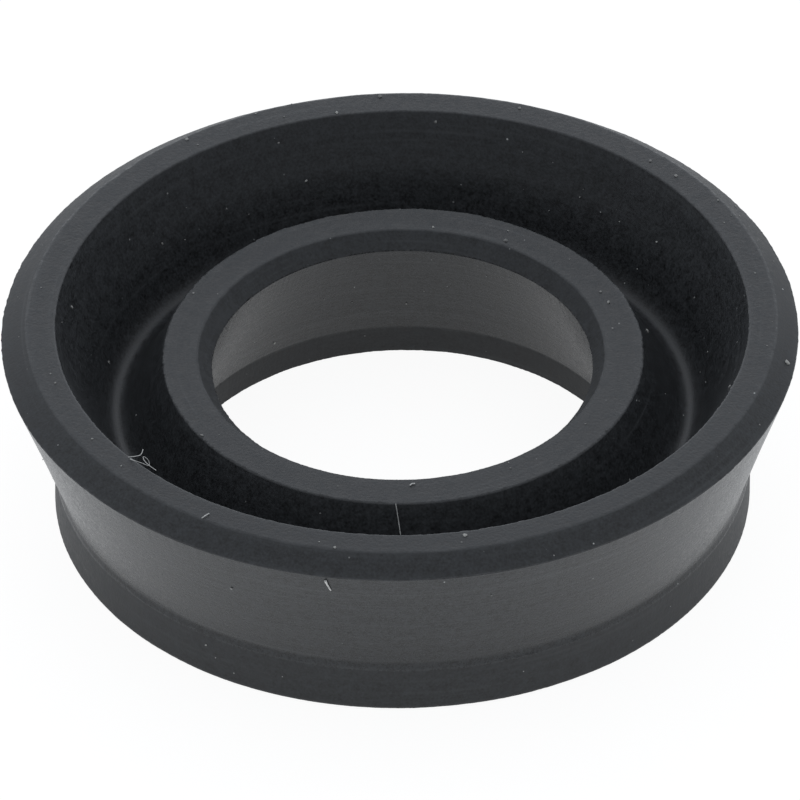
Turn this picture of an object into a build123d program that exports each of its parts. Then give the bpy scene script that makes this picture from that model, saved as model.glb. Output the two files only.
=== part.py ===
"""U cup seal for a 12 mm rod in an 18 mm groove, moulded in one piece of rubber.

The seal is a solid of revolution about Z.  Two lips stand on one solid heel:
the outer lip leans outwards and seals against the bore, the inner lip leans
inwards and seals on the rod.  A V-shaped groove between them lets pressure
spread both lips.  The flat face of the heel lies on Z = 0, and the origin is
the centre of that face.  All lengths are millimetres.
"""

import os

from build123d import *

# Heel: the solid ring that sits on the floor of the seal housing.
heel_outer_radius = 8.94  # outside of the heel, which clears the bore
heel_bore_radius = 6.05  # inside of the heel, which clears the rod
heel_outer_height = 1.27  # where the outside of the heel meets the outer lip
heel_bore_height = 0.81  # where the bore of the heel meets the inner lip
heel_edge_radius = 0.12  # rounding of the two edges of the flat face

# Outer lip: it seals on its widest edge, under a trimmed bevel.
outer_lip_height = 5.63  # top of the outer lip, the highest face of the seal
outer_edge_radius = 10.20  # sealing edge, before the seal is pressed in
outer_bevel_width = 0.60  # radial width of the bevel above the sealing edge
outer_bevel_drop = 0.48  # height of that bevel
outer_land_width = 0.70  # flat ring on top of the outer lip

# Inner lip: lower than the outer one, with its own bevel.
inner_lip_height = 4.51  # top of the inner lip
inner_edge_radius = 4.89  # sealing edge, before the rod is pushed in
inner_bevel_width = 0.34  # radial width of the bevel above the sealing edge
inner_bevel_drop = 0.40  # height of that bevel
inner_land_width = 0.95  # flat ring on top of the inner lip

# Pressure groove between the lips.
groove_root_radius = 7.35  # distance of the groove's lowest line from the axis
groove_root_height = 2.18  # height of the sharp V, before it is rounded
groove_root_fillet = 0.30  # rounding at the bottom of the V

# The corners of one half section, as (distance from the axis, height).
face_outer_corner = (heel_outer_radius, 0)
shoulder = (heel_outer_radius, heel_outer_height)
outer_edge = (outer_edge_radius, outer_lip_height - outer_bevel_drop)
outer_land_rim = (outer_edge_radius - outer_bevel_width, outer_lip_height)
groove_rim_outer = (outer_land_rim[0] - outer_land_width, outer_lip_height)
groove_root = (groove_root_radius, groove_root_height)
inner_land_rim = (inner_edge_radius + inner_bevel_width, inner_lip_height)
groove_rim_inner = (inner_land_rim[0] + inner_land_width, inner_lip_height)
inner_edge = (inner_edge_radius, inner_lip_height - inner_bevel_drop)
throat = (heel_bore_radius, heel_bore_height)
face_inner_corner = (heel_bore_radius, 0)

with BuildPart() as u_cup_seal:
    with BuildSketch(Plane.XZ) as section:
        with BuildLine() as outline:
            # Up the outside of the heel and the flared outer lip.
            outer_side = Polyline(face_outer_corner, shoulder, outer_edge, outer_land_rim)
            # Over the outer land, down into the groove and up to the inner land.
            groove_side = Polyline(
                outer_side @ 1, groove_rim_outer, groove_root, groove_rim_inner, inner_land_rim
            )
            # Down the inner lip and the heel bore, and back along the flat face.
            bore_side = Polyline(groove_side @ 1, inner_edge, throat, face_inner_corner)
            flat_face = Line(bore_side @ 1, outer_side @ 0)
        make_face()
        fillet(section.vertices().sort_by_distance(groove_root)[0], groove_root_fillet)
        heel_corners = section.vertices().group_by(Axis.Y)[0]
        fillet(heel_corners, heel_edge_radius)
    revolve(axis=Axis.Z)

u_cup_seal.part.label = "u_cup_seal"

os.makedirs("parts", exist_ok=True)
export_step(u_cup_seal.part, "parts/u_cup_seal.step")

print("volume, cubic mm:", round(u_cup_seal.part.volume, 2))
print("lip to lip, mm:", 2 * outer_edge_radius, "over", 2 * inner_edge_radius)
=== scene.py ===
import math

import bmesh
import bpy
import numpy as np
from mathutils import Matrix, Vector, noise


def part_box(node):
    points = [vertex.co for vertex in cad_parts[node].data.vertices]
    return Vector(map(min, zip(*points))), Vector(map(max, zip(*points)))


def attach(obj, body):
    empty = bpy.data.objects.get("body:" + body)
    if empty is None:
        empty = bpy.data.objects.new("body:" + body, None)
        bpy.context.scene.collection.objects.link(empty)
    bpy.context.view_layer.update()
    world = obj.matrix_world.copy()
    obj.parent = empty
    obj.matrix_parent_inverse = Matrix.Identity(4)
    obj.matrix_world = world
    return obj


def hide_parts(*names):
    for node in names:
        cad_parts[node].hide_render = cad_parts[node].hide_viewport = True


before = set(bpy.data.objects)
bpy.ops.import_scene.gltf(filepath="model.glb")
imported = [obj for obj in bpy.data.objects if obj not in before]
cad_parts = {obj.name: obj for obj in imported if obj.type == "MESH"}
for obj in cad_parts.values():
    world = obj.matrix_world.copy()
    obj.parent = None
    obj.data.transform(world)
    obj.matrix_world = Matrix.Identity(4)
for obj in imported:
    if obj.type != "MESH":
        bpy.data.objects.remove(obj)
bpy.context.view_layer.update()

# %% [markdown]
# # A moulded U cup seal
# The part is a rubber ring for sealing a rod in a cylinder. Two thin lips stand on a solid
# heel, and a V groove between them lets the oil or air push them apart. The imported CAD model
# is already loaded: it gives the true size, and everything below is built around it.
# Blender works in metres, and a seal this small is easier to think about in millimetres, so
# every size is written in millimetres and scaled once, when a mesh is made.

MM = 0.001
MICROMETRE = 0.000001
cad_low, cad_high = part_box("u_cup_seal")
seal_height = cad_high.z / MM
lip_radius = cad_high.x / MM
random = np.random.default_rng(18)
print("seal height", round(seal_height, 3), "mm, widest radius", round(lip_radius, 3), "mm")

# %% [markdown]
# ## The section of the seal
# A seal of revolution is fully described by half of its cut section. The corners are named
# after what they are on the seal, and each has a height and a distance from the axis. The
# CAD model has the same corners at their nominal places, and each runs perfectly true. A real
# moulding adds three small things that the eye notices: each edge is a little rounded, the
# bore of the heel has a trace of draft so that the mould lets go, and every ring sits a few
# hundredths of a millimetre off centre and not quite level. A spin of a curve would give the
# first two. Building the rings as arrays of radius against angle gives all three, so that way
# was chosen.

# %% Corners of the section
# Each corner: height, mean radius, rounding, then how it changes around the ring:
# (shift to +X, shift to +Y, ovality along X, rise towards +Y).
INNER_LIP_DROP = 1.12
inner_top = seal_height - INNER_LIP_DROP
CORNERS = {
    "face_outer": (0.0, 8.955, 0.14, (-0.02, -0.035, 0.0, 0.0)),
    "shoulder": (1.28, 8.955, 0.03, (0.0, -0.025, 0.0, 0.0)),
    "flank_foot": (1.44, 8.905, 0.08, (0.0, -0.02, 0.0, 0.0)),
    "outer_edge": (seal_height - 0.48, lip_radius + 0.01, 0.03, (-0.03, 0.03, 0.03, 0.02)),
    "outer_land_rim": (seal_height - 0.02, 9.61, 0.05, (0.015, 0.035, 0.01, 0.03)),
    "groove_rim_outer": (seal_height, 8.89, 0.05, (0.03, -0.015, 0.02, 0.02)),
    "groove_root": (2.18, 7.35, 1.25, (0.03, 0.0, 0.0, 0.0)),
    "groove_rim_inner": (inner_top, 6.17, 0.05, (0.045, -0.005, 0.0, 0.02)),
    "inner_land_rim": (inner_top, 5.23, 0.04, (0.0, 0.03, 0.0, 0.01)),
    "inner_edge": (inner_top - 0.40, 4.875, 0.03, (0.02, 0.01, 0.0, 0.01)),
    "throat": (0.81, 5.95, 0.05, (0.01, -0.02, 0.0, 0.0)),
    "face_inner": (0.0, 6.02, 0.05, (-0.01, -0.04, 0.0, 0.0)),
}
corner_names = list(CORNERS)


def corner_ring(name, angle):
    """Radius and height of one corner at the given angles, in millimetres."""
    height, radius, rounding, (shift_x, shift_y, oval, rise) = CORNERS[name]
    ring = radius + shift_x * np.cos(angle) + shift_y * np.sin(angle) + oval * np.cos(2 * angle)
    return np.stack([ring, height + rise * np.sin(angle)], axis=-1)


print(len(corner_names), "corners, inner lip", INNER_LIP_DROP, "mm lower")

# %% [markdown]
# ## From corners to a smooth outline
# Each corner is replaced by a short arc that is tangent to both of its sides. The arc is
# dense, because a highlight lives on it, and the flat between two arcs needs only the points
# that carry a detail, such as a fine step left by the mould. Each point also remembers how
# close it is to an edge: the material uses that to paint the rims lighter, partly as wear and
# partly as a painted highlight.

# %% The outline at every angle
steps_around = 1080
arc_steps = 4
angles = np.linspace(0.0, 2 * math.pi, steps_around, endpoint=False)

# Extra points on a flat, as shares of its length, with an offset outwards in millimetres.
FLAT_DETAIL = {
    "flank_foot": [(0.10, -0.008), (0.20, -0.016), (0.212, -0.006), (0.5, -0.018), (0.8, -0.008)],
    "groove_rim_outer": [(0.30, 0.0), (0.36, -0.008), (0.70, 0.0)],
    "groove_root": [(0.5, 0.0)],
    "inner_edge": [(0.30, 0.0), (0.5, 0.0), (0.55, -0.008), (0.75, 0.0)],
    "face_inner": [(0.25, 0.0), (0.5, 0.0), (0.75, 0.0)],
    "outer_edge": [(0.3, 0.0), (0.7, 0.0)],
    "outer_land_rim": [(0.35, 0.0), (0.7, 0.0)],
    "groove_rim_inner": [(0.3, 0.0), (0.7, 0.0)],
}


def unit(vectors):
    """The same directions with a length of one."""
    return vectors / np.linalg.norm(vectors, axis=-1, keepdims=True)


def corner_arc(before, corner, after, rounding, steps):
    """Points of a rounding that is tangent to both sides of a corner."""
    start = corner + unit(before - corner) * rounding
    end = corner + unit(after - corner) * rounding
    shares = np.linspace(0.0, 1.0, steps + 1)[:, None, None]
    return (1 - shares) ** 2 * start + 2 * shares * (1 - shares) * corner + shares**2 * end


def outline_rings():
    """All rings of the seal as (radius, height) at each angle, and how near an edge each is."""
    corners = [corner_ring(name, angles) for name in corner_names]
    rings, rim, owner = [], [], []
    count = len(corners)
    for index, name in enumerate(corner_names):
        before, corner, after = corners[index - 1], corners[index], corners[(index + 1) % count]
        rounding = CORNERS[name][2]
        steps = 3 * arc_steps if name == "groove_root" else arc_steps
        arc = corner_arc(before, corner, after, rounding, steps)
        sharp = 0.0 if name in ("groove_root", "flank_foot") else 1.0
        for step, points in enumerate(arc):
            rings.append(points)
            rim.append(sharp * math.sin(math.pi * (step + 0.5) / (steps + 1)))
            owner.append(name)
        next_rounding = CORNERS[corner_names[(index + 1) % count]][2]
        start = arc[-1]
        end = after + unit(corner - after) * next_rounding
        along = unit(end - start)
        outward = np.stack([along[:, 1], -along[:, 0]], axis=-1)
        for share, offset in FLAT_DETAIL.get(name, []):
            rings.append(start + (end - start) * share + outward * offset)
            rim.append(0.0)
            owner.append(name)
    return np.array(rings), np.array(rim), owner


rings, rim_nearness, ring_owner = outline_rings()
print(len(rings), "rings,", 2 * len(rings) * steps_around, "triangles")


# %% [markdown]
# ## Trimmed edges are never perfect
# The lips are cut free of the moulding flash, and the knife leaves each edge very slightly
# ragged. A bump map can't change the edge that is seen against the background, so the points
# of the edge themselves move. The movement is a closed row of random numbers around the ring,
# with a smooth curve through them: coarse rows make a soft wave, fine rows make tiny nicks.


# %% Ragged edges
def closed_noise(count, size):
    """Smooth random offsets around the ring: count random values, each about size millimetres."""
    values = random.normal(0.0, size, count)
    position = angles / (2 * math.pi) * count
    low = np.floor(position).astype(int)
    blend = position - low
    blend = blend * blend * (3 - 2 * blend)
    return values[low % count] * (1 - blend) + values[(low + 1) % count] * blend


# Raggedness of each edge: size of the soft wave and of the nicks, in millimetres.
RAGGED = {
    "outer_edge": (0.007, 0.009),
    "outer_land_rim": (0.010, 0.008),
    "groove_rim_outer": (0.004, 0.009),
    "groove_rim_inner": (0.008, 0.014),
    "inner_land_rim": (0.006, 0.005),
    "inner_edge": (0.006, 0.010),
    "throat": (0.006, 0.005),
    "face_inner": (0.004, 0.004),
    "shoulder": (0.003, 0.004),
    "face_outer": (0.003, 0.003),
}
# How many waves, nicks and burrs there are around the ring.
WAVES = 60
NICKS = 420
BURRS = 800
for edge, (wave, nick) in RAGGED.items():
    offset = closed_noise(WAVES, wave) - np.abs(closed_noise(NICKS, nick)) + closed_noise(BURRS, nick / 2)
    for index, owner in enumerate(ring_owner):
        if owner == edge and rim_nearness[index] > 0:
            sideways = -1.0 if edge.startswith(("inner_edge", "throat", "face_inner")) else 1.0
            rings[index, :, 0] += sideways * rim_nearness[index] * offset
print("edges worked:", ", ".join(RAGGED))

# %% [markdown]
# ## The mesh
# The rings become one closed mesh. Faces of one band of the section share a finish, so each
# face gets a material number by the corner that it follows. Between a dense arc and a wide
# flat, Blender's own smooth shading would bend the light over the whole flat. Normals worked
# out from the grid of points keep each flat flat, and they are stored with the mesh.

# %% Build the seal
FINISH_OF = {
    "face_outer": "heel",
    "shoulder": "flank",
    "flank_foot": "flank",
    "outer_edge": "bevel",
    "outer_land_rim": "land",
    "groove_rim_outer": "groove",
    "groove_root": "groove",
    "groove_rim_inner": "land",
    "inner_land_rim": "bevel",
    "inner_edge": "flank",
    "throat": "heel",
    "face_inner": "heel",
}
finish_names = ["heel", "flank", "bevel", "land", "groove"]


def ring_points(all_rings):
    """Points in metres, one row for each ring."""
    radius, height = all_rings[..., 0], all_rings[..., 1]
    across = radius * np.cos(angles)
    away = radius * np.sin(angles)
    return np.stack([across, away, height], axis=-1) * MM


def grid_normals(points):
    """Outward normals from each point's neighbours along and around the section."""
    along = np.roll(points, -1, axis=0) - np.roll(points, 1, axis=0)
    around = np.roll(points, -1, axis=1) - np.roll(points, 1, axis=1)
    return unit(np.cross(around, along))


points = ring_points(rings)
normals = grid_normals(points)
ring_count, step_count = points.shape[:2]
number = np.arange(ring_count * step_count).reshape(ring_count, step_count)
ahead = np.roll(number, -1, axis=0)
quads = np.stack(
    [number, np.roll(number, -1, axis=1), np.roll(ahead, -1, axis=1), ahead], axis=-1
).reshape(-1, 4)

seal_mesh = bpy.data.meshes.new("moulded_seal")
seal_mesh.from_pydata(points.reshape(-1, 3).tolist(), [], quads.tolist())
seal_mesh.shade_smooth()
seal_mesh.normals_split_custom_set_from_vertices(normals.reshape(-1, 3).tolist())
rim_attribute = seal_mesh.attributes.new("rim", "FLOAT", "POINT")
rim_attribute.data.foreach_set("value", np.repeat(rim_nearness, step_count).astype(np.float32))
finish_numbers = [finish_names.index(FINISH_OF[owner]) for owner in ring_owner]
seal_mesh.polygons.foreach_set("material_index", np.repeat(finish_numbers, step_count))
moulded_seal = bpy.data.objects.new("moulded_seal", seal_mesh)
bpy.context.collection.objects.link(moulded_seal)
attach(moulded_seal, "root")
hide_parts("u_cup_seal")
volume_check = bmesh.new()
volume_check.from_mesh(seal_mesh)
print("volume", round(volume_check.calc_volume(signed=True) / MM**3, 1), "cubic mm")
volume_check.free()

# %% [markdown]
# ## Helpers for node groups
# Several finishes share the same effects, so each effect is a node group with named inputs.
# Three small functions keep the node code readable: one opens a group, one adds a node with
# its settings, and one makes a maths node. All patterns are worked out from the object's own
# coordinates in millimetres, so a pattern's scale can be read as "so many per millimetre".


# %% Node helpers
def open_group(name, inputs, outputs):
    """A new shader node group. inputs maps names to default numbers, outputs is a list of names."""
    group = bpy.data.node_groups.new(name, "ShaderNodeTree")
    for label, value in inputs.items():
        socket = group.interface.new_socket(name=label, in_out="INPUT", socket_type="NodeSocketFloat")
        socket.default_value = value
    for label in outputs:
        group.interface.new_socket(name=label, in_out="OUTPUT", socket_type="NodeSocketFloat")
    return group, group.nodes.new("NodeGroupInput"), group.nodes.new("NodeGroupOutput")


def add_node(tree, kind, links=None, **settings):
    """Adds a node, sets its properties, and fills its inputs with values or with other sockets."""
    node = tree.nodes.new(kind)
    for label, value in settings.items():
        setattr(node, label, value)
    for label, value in (links or {}).items():
        if isinstance(value, bpy.types.NodeSocket):
            tree.links.new(value, node.inputs[label])
        else:
            node.inputs[label].default_value = value
    return node


def maths(tree, operation, *values, clamp=False):
    """Output socket of a Math node."""
    numbered = dict(enumerate(values))
    return add_node(tree, "ShaderNodeMath", numbered, operation=operation, use_clamp=clamp).outputs[0]


def millimetre_position(tree):
    """Socket with the position on the object, in millimetres."""
    place = add_node(tree, "ShaderNodeTexCoord")
    scaled = {0: place.outputs["Object"], "Scale": 1 / MM}
    return add_node(tree, "ShaderNodeVectorMath", scaled, operation="SCALE").outputs[0]


print("helpers ready")

# %% [markdown]
# ## Grain of the rubber
# Cured rubber repeats the blasted surface of its steel mould: a fine, even grain. Two layers
# of noise do it. The fine layer breaks up reflections, and a broad faint one keeps large
# areas from looking printed.

# %% Group: rubber_grain
grain_group, enter, leave = open_group(
    "rubber_grain", {"Grains per mm": 14.0, "Broad share": 0.4, "Contrast": 3.0}, ["Value", "Height"]
)
spot = millimetre_position(grain_group)
fine = add_node(
    grain_group,
    "ShaderNodeTexNoise",
    {"Vector": spot, "Scale": enter.outputs["Grains per mm"], "Detail": 2.0, "Roughness": 0.5},
)
broad_scale = maths(grain_group, "MULTIPLY", enter.outputs["Grains per mm"], 0.30)
broad = add_node(
    grain_group,
    "ShaderNodeTexNoise",
    {"Vector": spot, "Scale": broad_scale, "Detail": 2.0, "Roughness": 0.6},
)
broad_part = maths(grain_group, "MULTIPLY", broad.outputs[0], enter.outputs["Broad share"])
fine_share = maths(grain_group, "SUBTRACT", 1.0, enter.outputs["Broad share"])
both = maths(grain_group, "MULTIPLY_ADD", fine.outputs[0], fine_share, broad_part)
spread = maths(grain_group, "MULTIPLY", maths(grain_group, "SUBTRACT", both, 0.5), enter.outputs["Contrast"])
grain_value = maths(grain_group, "ADD", spread, 0.5, clamp=True)
grain_group.links.new(grain_value, leave.inputs["Value"])
grain_group.links.new(both, leave.inputs["Height"])
print("rubber_grain:", len(grain_group.nodes), "nodes")

# %% [markdown]
# ## Turning lines
# The mould was turned on a lathe, and its tool left fine lines that run around the seal. They
# must follow the ring without a seam. Four-dimensional noise can do that: two of its axes
# are radius and height, packed tightly, and the other two are the direction around the ring,
# stretched far out, so that each line runs long and fades in and out. The lines are a bump,
# and the colour along them is painted lighter, which is a painted sheen of the tool marks.

# %% Group: turning_lines
line_group, enter, leave = open_group(
    "turning_lines", {"Lines per mm": 9.0, "Wander": 1.2, "Sharpness": 2.0}, ["Height", "Sheen streak"]
)
spot = millimetre_position(line_group)
parts = add_node(line_group, "ShaderNodeSeparateXYZ", {0: spot})
flat_spot = add_node(line_group, "ShaderNodeCombineXYZ", {0: parts.outputs[0], 1: parts.outputs[1]})
radius = add_node(line_group, "ShaderNodeVectorMath", {0: flat_spot.outputs[0]}, operation="LENGTH")
radius = radius.outputs["Value"]
toward_x = maths(line_group, "DIVIDE", parts.outputs[0], radius)
toward_y = maths(line_group, "DIVIDE", parts.outputs[1], radius)
packed_radius = maths(line_group, "MULTIPLY", radius, enter.outputs["Lines per mm"])
packed_height = maths(line_group, "MULTIPLY", parts.outputs[2], enter.outputs["Lines per mm"])
stretched = {
    0: packed_radius,
    1: maths(line_group, "MULTIPLY", toward_x, enter.outputs["Wander"]),
    2: maths(line_group, "MULTIPLY", toward_y, enter.outputs["Wander"]),
}
ring_place = add_node(line_group, "ShaderNodeCombineXYZ", stretched)
lines = add_node(
    line_group,
    "ShaderNodeTexNoise",
    {"Vector": ring_place.outputs[0], "W": packed_height, "Scale": 1.0, "Detail": 1.0},
    noise_dimensions="4D",
)
centred = maths(line_group, "SUBTRACT", lines.outputs[0], 0.5)
line_group.links.new(centred, leave.inputs["Height"])
# This output marks where the colour is painted lighter along the lines, a painted sheen.
raised = maths(line_group, "MULTIPLY", centred, 2.0, clamp=True)
sharp = maths(line_group, "POWER", raised, enter.outputs["Sharpness"])
line_group.links.new(sharp, leave.inputs["Sheen streak"])
print("turning_lines:", len(line_group.nodes), "nodes")

# %% [markdown]
# ## Dust that has settled
# Black rubber holds dust by static. The larger grains are modelled later as real pieces. The
# finest ones are only a paler speck each, so they are a mask: a Voronoi pattern gives every
# cell a point, and a random number in each cell decides whether it holds a speck and how big.

# %% Group: fine_dust
dust_group, enter, leave = open_group(
    "fine_dust", {"Cells per mm": 5.0, "Share": 0.1, "Speck size": 0.16}, ["Mask"]
)
spot = millimetre_position(dust_group)
cells = add_node(
    dust_group, "ShaderNodeTexVoronoi", {"Vector": spot, "Scale": enter.outputs["Cells per mm"]}
)
chance = add_node(dust_group, "ShaderNodeSeparateColor", {0: cells.outputs["Color"]})
present = maths(dust_group, "LESS_THAN", chance.outputs[0], enter.outputs["Share"])
size = maths(dust_group, "MULTIPLY", chance.outputs[1], enter.outputs["Speck size"])
inside = maths(dust_group, "SUBTRACT", size, cells.outputs["Distance"])
soft = maths(dust_group, "MULTIPLY", inside, 14.0, clamp=True)
strength = maths(dust_group, "MULTIPLY", soft, chance.outputs[2])
speck = maths(dust_group, "MULTIPLY", strength, present)
dust_group.links.new(speck, leave.inputs["Mask"])
print("fine_dust:", len(dust_group.nodes), "nodes")

# %% [markdown]
# ## Rubbed rims and a painted highlight
# Where an edge has touched fingers, paper or the knife, its bloom is rubbed. The rim is also
# painted lighter to stand for the light that the edge catches, which is a painted highlight.
# The mesh stores how near each point is to an edge. Noise breaks that line up, so the painted
# rim is bright in places and plain in others.

# %% Group: rim_wear_and_sheen
rim_sheen_group, enter, leave = open_group("rim_wear_and_sheen", {"Strength": 0.5, "Patches per mm": 2.5}, ["Mask"])
nearness = add_node(rim_sheen_group, "ShaderNodeAttribute", attribute_name="rim")
patches = add_node(
    rim_sheen_group,
    "ShaderNodeTexNoise",
    {
        "Vector": millimetre_position(rim_sheen_group),
        "Scale": enter.outputs["Patches per mm"],
        "Detail": 4.0,
        "Roughness": 0.7,
    },
)
patchy = maths(rim_sheen_group, "MULTIPLY_ADD", patches.outputs[0], 2.4, -0.7, clamp=True)
# Edge nearness broken up by noise: where the rim is painted lighter, partly as wear and partly as a painted
# highlight.
worn_and_sheen = maths(rim_sheen_group, "MULTIPLY", nearness.outputs["Fac"], patchy)
mask = maths(rim_sheen_group, "MULTIPLY", worn_and_sheen, enter.outputs["Strength"])
rim_sheen_group.links.new(mask, leave.inputs["Mask"])
print("rim_wear_and_sheen:", len(rim_sheen_group.nodes), "nodes")

# %% [markdown]
# ## Five finishes of one rubber
# It is the same rubber all over, but the mould was finished differently from face to face.
# The flanks were turned and polished, because they slide. The bevels are cut with a knife and
# stay dull. The lands and the heel repeat a plain, slightly rough tool, and the groove is
# smooth. One function builds them all, and only its numbers differ. The colour is near black,
# and most of what is seen is reflection, so roughness and bump matter more than colour.

# %% Colours and numbers of the finishes
# Linear colours of clean rubber, of a paler tone for rubbed rims that is also their painted
# highlight and the painted sheen of the turning lines, and of fine dust.
RUBBER = (0.0172, 0.0188, 0.0204)
WORN_SHEEN_COLOUR = (0.060, 0.064, 0.067)
DUST = (0.45, 0.46, 0.45)
RUBBER_IOR = 1.45
# How far the grain lightens and darkens the colour, as a share, and how rough dust is.
GRAIN_TONE = 0.75
DUST_ROUGHER = 0.5

# Roughness and its change over the grain, grains per mm and their depth in micrometres, lines
# per mm and their depth, share of cells with dust, and strength of the rubbed rim with its
# painted highlight.
FINISHES = {
    "heel": dict(
        rough=0.56, spread=0.10, grains=15.0, grain_um=10.0,
        lines=7.0, line_um=1.0, dust=0.12, rim=0.3,
    ),
    "flank": dict(
        rough=0.29, spread=0.08, grains=15.0, grain_um=8.0,
        lines=9.0, line_um=5.0, dust=0.06, rim=0.3,
    ),
    "bevel": dict(
        rough=0.60, spread=0.10, grains=14.0, grain_um=9.0,
        lines=9.0, line_um=0.5, dust=0.14, rim=0.6,
    ),
    "land": dict(
        rough=0.49, spread=0.16, grains=12.0, grain_um=18.0,
        lines=8.0, line_um=0.8, dust=0.14, rim=0.6,
    ),
    "groove": dict(
        rough=0.44, spread=0.08, grains=14.0, grain_um=6.0,
        lines=7.0, line_um=1.4, dust=0.16, rim=0.4,
    ),
}
print("finishes planned:", len(FINISHES))


# %% Helpers for materials
def place_group(tree, group, **values):
    """Places a node group in a material, with its named inputs set."""
    node = add_node(tree, "ShaderNodeGroup", node_tree=group)
    for label, value in values.items():
        node.inputs[label.replace("_", " ")].default_value = value
    return node


def mixed_colour(tree, share, below, above):
    """Output socket of a colour mix."""
    node = add_node(tree, "ShaderNodeMix", data_type="RGBA")
    tree.links.new(share, node.inputs["Factor"])
    for label, value in (("A", below), ("B", above)):
        socket = next(s for s in node.inputs if s.name == label and s.type == "RGBA")
        if isinstance(value, bpy.types.NodeSocket):
            tree.links.new(value, socket)
        else:
            socket.default_value = (*value, 1.0)
    return next(s for s in node.outputs if s.type == "RGBA")


print("material helpers ready")


# %% One finish of the rubber
def rubber_finish(name):
    """The material of one finish of the rubber."""
    finish = FINISHES[name]
    material = bpy.data.materials.new("rubber_" + name)
    material.use_nodes = True
    tree = material.node_tree
    shader = tree.nodes["Principled BSDF"]
    shader.inputs["IOR"].default_value = RUBBER_IOR
    grain = place_group(tree, grain_group, Grains_per_mm=finish["grains"])
    turned = place_group(tree, line_group, Lines_per_mm=finish["lines"])
    dust = place_group(tree, dust_group, Share=finish["dust"])
    rim = place_group(tree, rim_sheen_group, Strength=finish["rim"])

    dark = tuple(channel * (1 - GRAIN_TONE) for channel in RUBBER)
    light = tuple(channel * (1 + GRAIN_TONE) for channel in RUBBER)
    toned = mixed_colour(tree, grain.outputs["Value"], dark, light)
    # Along the turning lines the colour is painted lighter: a painted sheen of the tool marks.
    sheen_streaked = mixed_colour(tree, turned.outputs["Sheen streak"], toned, WORN_SHEEN_COLOUR)
    # The rims are painted lighter, partly as wear and partly as a painted highlight where the edge catches
    # the light.
    rim_worn_and_sheen = mixed_colour(tree, rim.outputs["Mask"], sheen_streaked, WORN_SHEEN_COLOUR)
    dusty = mixed_colour(tree, dust.outputs["Mask"], rim_worn_and_sheen, DUST)
    tree.links.new(dusty, shader.inputs["Base Color"])

    lowest = finish["rough"] - finish["spread"]
    varied = maths(tree, "MULTIPLY_ADD", grain.outputs["Value"], 2 * finish["spread"], lowest)
    rough = maths(tree, "MULTIPLY_ADD", dust.outputs["Mask"], DUST_ROUGHER, varied, clamp=True)
    tree.links.new(rough, shader.inputs["Roughness"])

    lined = add_node(
        tree,
        "ShaderNodeBump",
        {"Height": turned.outputs["Height"], "Distance": finish["line_um"] * MICROMETRE, "Strength": 1.0},
    )
    bumped = add_node(
        tree,
        "ShaderNodeBump",
        {
            "Height": grain.outputs["Height"],
            "Distance": finish["grain_um"] * MICROMETRE,
            "Strength": 1.0,
            "Normal": lined.outputs[0],
        },
    )
    tree.links.new(bumped.outputs[0], shader.inputs["Normal"])
    return material


# %% The five finishes
for name in finish_names:
    seal_mesh.materials.append(rubber_finish(name))
print("finishes:", ", ".join(material.name for material in seal_mesh.materials))

# %% [markdown]
# ## Dust grains and lint
# Static also holds things large enough to cast a shadow: pale grains of paper dust, and short
# fibres from cloth. They are modelled as small meshes that sit on the rubber. A helper gives
# the point and the outward direction at any place of the section, so that a grain can be
# placed by naming the corner before it, how far along the flat it is, and its angle.

# %% A place on the surface
def on_surface(corner, share, degrees, lift=0.0):
    """Point in metres and outward direction, some way from one corner towards the next."""
    angle = np.array([math.radians(degrees)])
    following = corner_names[(corner_names.index(corner) + 1) % len(corner_names)]
    start, end = corner_ring(corner, angle)[0], corner_ring(following, angle)[0]
    along = (end - start) / np.linalg.norm(end - start)
    outward = np.array([along[1], -along[0]])
    radius, height = start + (end - start) * share + outward * lift
    spoke = Vector((math.cos(angle[0]), math.sin(angle[0]), 0.0))
    normal = spoke * outward[0] + Vector((0.0, 0.0, outward[1]))
    return (spoke * radius + Vector((0.0, 0.0, height))) * MM, normal.normalized()


# Where dust gathers: corner before the flat, number of grains.
DUST_ON = {
    "outer_land_rim": 26,
    "outer_edge": 10,
    "flank_foot": 26,
    "groove_rim_outer": 44,
    "groove_root": 20,
    "groove_rim_inner": 16,
    "inner_edge": 20,
    "face_outer": 8,
    "throat": 6,
}
# Radius of a middling grain, how widely it varies, and the smallest and largest, in millimetres.
GRAIN_RADIUS = 0.020
GRAIN_VARIES = 0.5
GRAIN_LIMITS = (0.008, 0.055)
GRAIN_LUMPS = 0.45
grain_mesh = bmesh.new()
for corner, count in DUST_ON.items():
    for _ in range(count):
        wanted = random.lognormal(math.log(GRAIN_RADIUS), GRAIN_VARIES)
        size = float(np.clip(wanted, *GRAIN_LIMITS)) * MM
        place, normal = on_surface(corner, random.uniform(0.06, 0.94), random.uniform(0.0, 360.0))
        turn = normal.to_track_quat("Z", "Y").to_matrix().to_4x4()
        squash = Matrix.Diagonal((size * random.uniform(0.7, 1.5), size, size * 0.6, 1.0))
        spin = Matrix.Rotation(random.uniform(0.0, math.pi), 4, "Z")
        grain = bmesh.ops.create_icosphere(grain_mesh, subdivisions=2, radius=1.0)["verts"]
        seed = Vector(random.uniform(0.0, 50.0, 3).tolist())
        for vertex in grain:
            vertex.co *= 1.0 + GRAIN_LUMPS * noise.noise(vertex.co * 1.3 + seed)
            vertex.co = Matrix.Translation(place + normal * size * 0.25) @ turn @ spin @ squash @ vertex.co
dust_mesh = bpy.data.meshes.new("dust_grains")
grain_mesh.to_mesh(dust_mesh)
grain_mesh.free()
dust_grains = bpy.data.objects.new("dust_grains", dust_mesh)
bpy.context.collection.objects.link(dust_grains)
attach(dust_grains, "root")
print("dust grains:", sum(DUST_ON.values()), "with", len(dust_mesh.polygons), "faces")

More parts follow.
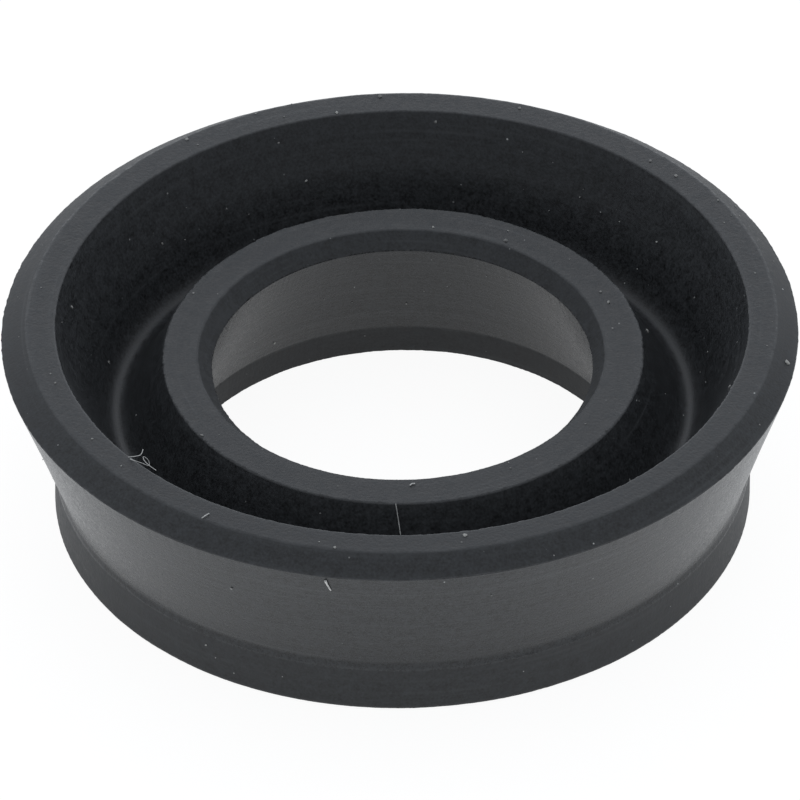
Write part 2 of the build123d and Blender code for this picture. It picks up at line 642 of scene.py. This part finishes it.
# %% [markdown]
# ## Lint
# A textile fibre is a thin thread that curls, and one end often stands free. A smooth curve
# with a round bevel draws it, and its thickness changes at each bend. The curve is turned
# into a mesh at once, so that it keeps its exact shape wherever the model goes.

# %% Lint fibres
LINT_CLEARANCE = 0.01
# Each fibre: corner before the flat, radius in millimetres, and then the share of the flat,
# the angle in degrees and the lift in millimetres at each bend.
LINT = {
    "lint_curl": (
        "outer_land_rim",
        0.010,
        [(0.90, 219.2, 0.02), (0.84, 220.6, 0.12), (0.98, 221.9, 0.10), (1.14, 222.8, 0.0),
         (1.30, 221.9, 0.08), (1.16, 220.9, 0.20), (0.98, 222.6, 0.16), (1.10, 224.6, 0.05)],
    ),
    "lint_tuft": (
        "outer_land_rim",
        0.008,
        [(0.92, 218.6, 0.02), (1.05, 219.8, 0.10), (1.22, 220.6, 0.16), (1.34, 220.2, 0.26)],
    ),
    "lint_wall": (
        "groove_root",
        0.013,
        [(1.0, 268.2, 0.03), (0.80, 269.0, 0.05), (0.55, 269.6, 0.04), (0.30, 270.1, 0.04),
         (0.1, 270.2, 0.02)],
    ),
    "lint_flank": ("flank_foot", 0.030, [(0.96, 258.6, 0.01), (0.92, 258.8, 0.03), (0.85, 259.2, 0.0)]),
    "lint_land": ("outer_land_rim", 0.016, [(-0.02, 237.7, 0.02), (0.15, 237.9, 0.04), (0.35, 238.1, 0.02)]),
    "lint_edge": (
        "groove_rim_inner",
        0.016,
        [(0.72, 271.8, 0.01), (0.80, 272.4, 0.03), (0.78, 273.2, 0.01)],
    ),
}
lint_objects = []
for name, (corner, thickness, bends) in LINT.items():
    curve = bpy.data.curves.new(name, "CURVE")
    curve.dimensions = "3D"
    curve.bevel_depth = thickness * MM
    curve.bevel_resolution = 2
    curve.use_fill_caps = True
    spline = curve.splines.new("NURBS")
    spline.points.add(len(bends) - 1)
    for point, (share, degrees, lift) in zip(spline.points, bends):
        place, normal = on_surface(corner, share, degrees, lift + LINT_CLEARANCE)
        point.co = (*place, 1.0)
        point.radius = random.uniform(0.5, 1.2)
    spline.order_u = 3
    spline.use_endpoint_u = True
    drawn = bpy.data.objects.new(name + "_line", curve)
    fibre = bpy.data.objects.new(name, bpy.data.meshes.new_from_object(drawn))
    bpy.data.objects.remove(drawn)
    bpy.context.collection.objects.link(fibre)
    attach(fibre, "root")
    lint_objects.append(fibre)
print("lint fibres:", len(lint_objects))

# %% [markdown]
# ## Dry, pale materials
# Paper dust and cloth lint have no gloss. One function makes both, with a colour that drifts
# between two tones, so that no two grains look quite the same.


# %% Dust and lint materials
MATT_ROUGHNESS = 0.9


def plain_matt(name, dark, light, patches_mm):
    """A dry material whose colour drifts between two tones."""
    material = bpy.data.materials.new(name)
    material.use_nodes = True
    tree = material.node_tree
    shader = tree.nodes["Principled BSDF"]
    shader.inputs["Roughness"].default_value = MATT_ROUGHNESS
    drift = place_group(tree, grain_group, Grains_per_mm=patches_mm, Broad_share=0.6)
    tree.links.new(mixed_colour(tree, drift.outputs["Value"], dark, light), shader.inputs["Base Color"])
    return material


dust_mesh.materials.append(plain_matt("paper_dust", (0.10, 0.10, 0.10), (0.42, 0.42, 0.40), 3.0))
lint_material = plain_matt("cloth_lint", (0.38, 0.38, 0.37), (0.70, 0.70, 0.68), 4.0)
for fibre in lint_objects:
    fibre.data.materials.append(lint_material)
print("dry materials: paper_dust, cloth_lint")

# %% [markdown]
# ## The floor
# The seal lies on a white sheet. Seen directly, the sheet should be almost pure white and
# still keep a trace of the seal's shadow, so the camera sees mostly a plain glow with a little
# lit white in it. In reflections and in bounced light it is an ordinary lit pale surface,
# which darkens under the lip, and that is what shades the lower part of the flanks.

# %% Floor
# Half the width of the sheet in metres, and its gap below the seal.
FLOOR_REACH = 0.6
FLOOR_GAP = 0.02 * MM
LIT_WHITE = (0.80, 0.80, 0.79, 1.0)
FAINT_WHITE = (0.12, 0.12, 0.12, 1.0)
# Strength of the light that the sheet gives off by itself: to the seal, and to the camera.
BACKLIGHT = 0.48
SEEN_GLOW = 0.93
floor_mesh = bpy.data.meshes.new("floor")
floor_signs = [(-1, -1), (1, -1), (1, 1), (-1, 1)]
floor_corners = [(FLOOR_REACH * x, FLOOR_REACH * y, 0.0) for x, y in floor_signs]
floor_mesh.from_pydata(floor_corners, [], [(0, 1, 2, 3)])
floor = bpy.data.objects.new("floor", floor_mesh)
floor.location.z = cad_low.z - FLOOR_GAP
bpy.context.collection.objects.link(floor)

floor_material = bpy.data.materials.new("white_sheet")
floor_material.use_nodes = True
tree = floor_material.node_tree
tree.nodes.remove(tree.nodes["Principled BSDF"])
white = add_node(tree, "ShaderNodeBsdfDiffuse", {"Color": LIT_WHITE})
backlight = add_node(tree, "ShaderNodeEmission", {"Strength": BACKLIGHT})
lit = add_node(tree, "ShaderNodeAddShader", {0: white.outputs[0], 1: backlight.outputs[0]})
glow = add_node(tree, "ShaderNodeEmission", {"Strength": SEEN_GLOW})
faint = add_node(tree, "ShaderNodeBsdfDiffuse", {"Color": FAINT_WHITE})
seen = add_node(tree, "ShaderNodeAddShader", {0: glow.outputs[0], 1: faint.outputs[0]})
ray = add_node(tree, "ShaderNodeLightPath")
sheet_mix = {0: ray.outputs["Is Camera Ray"], 1: lit.outputs[0], 2: seen.outputs[0]}
sheet = add_node(tree, "ShaderNodeMixShader", sheet_mix)
tree.links.new(sheet.outputs[0], tree.nodes["Material Output"].inputs["Surface"])
floor_mesh.materials.append(floor_material)
print("floor", 2 * FLOOR_REACH, "m wide")

# %% [markdown]
# ## The light
# A light tent gives the soft light: four white walls and a roof, each lit by its own amount.
# A world whose strength depends on direction is the simplest tent, and black rubber shows it
# well, because most of what is seen on it is the reflection of a wall. The squares of a
# direction's x and y add up to one around the horizon, so they blend the walls evenly. Two
# smooth steps in height blend the lower walls into the upper walls, and those into the roof.

# %% Tent
# Brightness of each wall: its axis and sign, then low and high on the wall.
TENT_WALLS = {
    "front": (1, -1.0, 0.75, 0.38),
    "right": (0, 1.0, 0.56, 0.58),
    "back": (1, 1.0, 1.50, 1.34),
    "left": (0, -1.0, 0.62, 0.58),
}
TENT_ROOF = 0.92
# Heights of the direction, from 0 at the horizon to 1 overhead, where the two blends run.
WALL_STEP = (0.05, 0.50)
ROOF_STEP = (0.65, 0.97)
TENT_COLOUR = (0.945, 0.985, 1.05, 1.0)
world = bpy.data.worlds.new("light_tent")
bpy.context.scene.world = world
world.use_nodes = True
tree = world.node_tree
direction = add_node(tree, "ShaderNodeTexCoord").outputs["Generated"]
parts = add_node(tree, "ShaderNodeSeparateXYZ", {0: direction})
level_square = maths(tree, "SUBTRACT", 1.0001, maths(tree, "POWER", parts.outputs[2], 2.0))
low_walls = high_walls = 0.0
for axis, sign, low, high in TENT_WALLS.values():
    facing = maths(tree, "MAXIMUM", maths(tree, "MULTIPLY", parts.outputs[axis], sign), 0.0)
    share = maths(tree, "DIVIDE", maths(tree, "POWER", facing, 2.0), level_square)
    low_walls = maths(tree, "MULTIPLY_ADD", share, low, low_walls)
    high_walls = maths(tree, "MULTIPLY_ADD", share, high, high_walls)


def height_blend(low_z, high_z, below, above):
    """Blends two strengths between two heights of the direction."""
    limits = {"Value": parts.outputs[2], "From Min": low_z, "From Max": high_z}
    share = add_node(tree, "ShaderNodeMapRange", limits, interpolation_type="SMOOTHSTEP").outputs[0]
    return add_node(tree, "ShaderNodeMix", {"Factor": share, "A": below, "B": above}).outputs[0]


walls = height_blend(*WALL_STEP, low_walls, high_walls)
tent = height_blend(*ROOF_STEP, walls, TENT_ROOF)
ray = add_node(tree, "ShaderNodeLightPath")
shown = add_node(tree, "ShaderNodeMix", {"Factor": ray.outputs["Is Camera Ray"], "A": tent, "B": 1.0})
background = tree.nodes["Background"]
background.inputs["Color"].default_value = TENT_COLOUR
tree.links.new(shown.outputs[0], background.inputs["Strength"])
print("tent of", len(TENT_WALLS), "walls and a roof")

# %% [markdown]
# ## The camera
# Small parts are shot from far away with a long lens, so the ring's front and back look
# almost equally wide. The camera looks down at the seal from the front at 37.8 degrees.

# %% Camera
# FIELD_WIDTH is how much of the scene's width is seen at AIM, the middle of the view.
ELEVATION = math.radians(37.84)
ROLL = -0.01364
DISTANCE = 612.4 * MM
FIELD_WIDTH = 20.516 * MM
AIM = Vector((-0.049, -1.258, 4.008)) * MM
level_right = Vector((1.0, 0.0, 0.0))
level_up = Vector((0.0, math.sin(ELEVATION), math.cos(ELEVATION)))
forward = Vector((0.0, math.cos(ELEVATION), -math.sin(ELEVATION)))
right = math.cos(ROLL) * level_right + math.sin(ROLL) * level_up
up = math.cos(ROLL) * level_up - math.sin(ROLL) * level_right

camera_data = bpy.data.cameras.new("camera")
camera_data.sensor_width = 36.0
camera_data.lens = camera_data.sensor_width * DISTANCE / FIELD_WIDTH
camera_data.clip_start = 0.01
camera_data.clip_end = 5.0
camera = bpy.data.objects.new("camera", camera_data)
turned_to_aim = Matrix((right, up, -forward)).transposed().to_4x4()
camera.matrix_world = Matrix.Translation(AIM - forward * DISTANCE) @ turned_to_aim
bpy.context.collection.objects.link(camera)
bpy.context.scene.camera = camera
bpy.context.scene.view_settings.view_transform = "Standard"
print("lens", round(camera_data.lens), "mm at", round(DISTANCE, 3), "m")
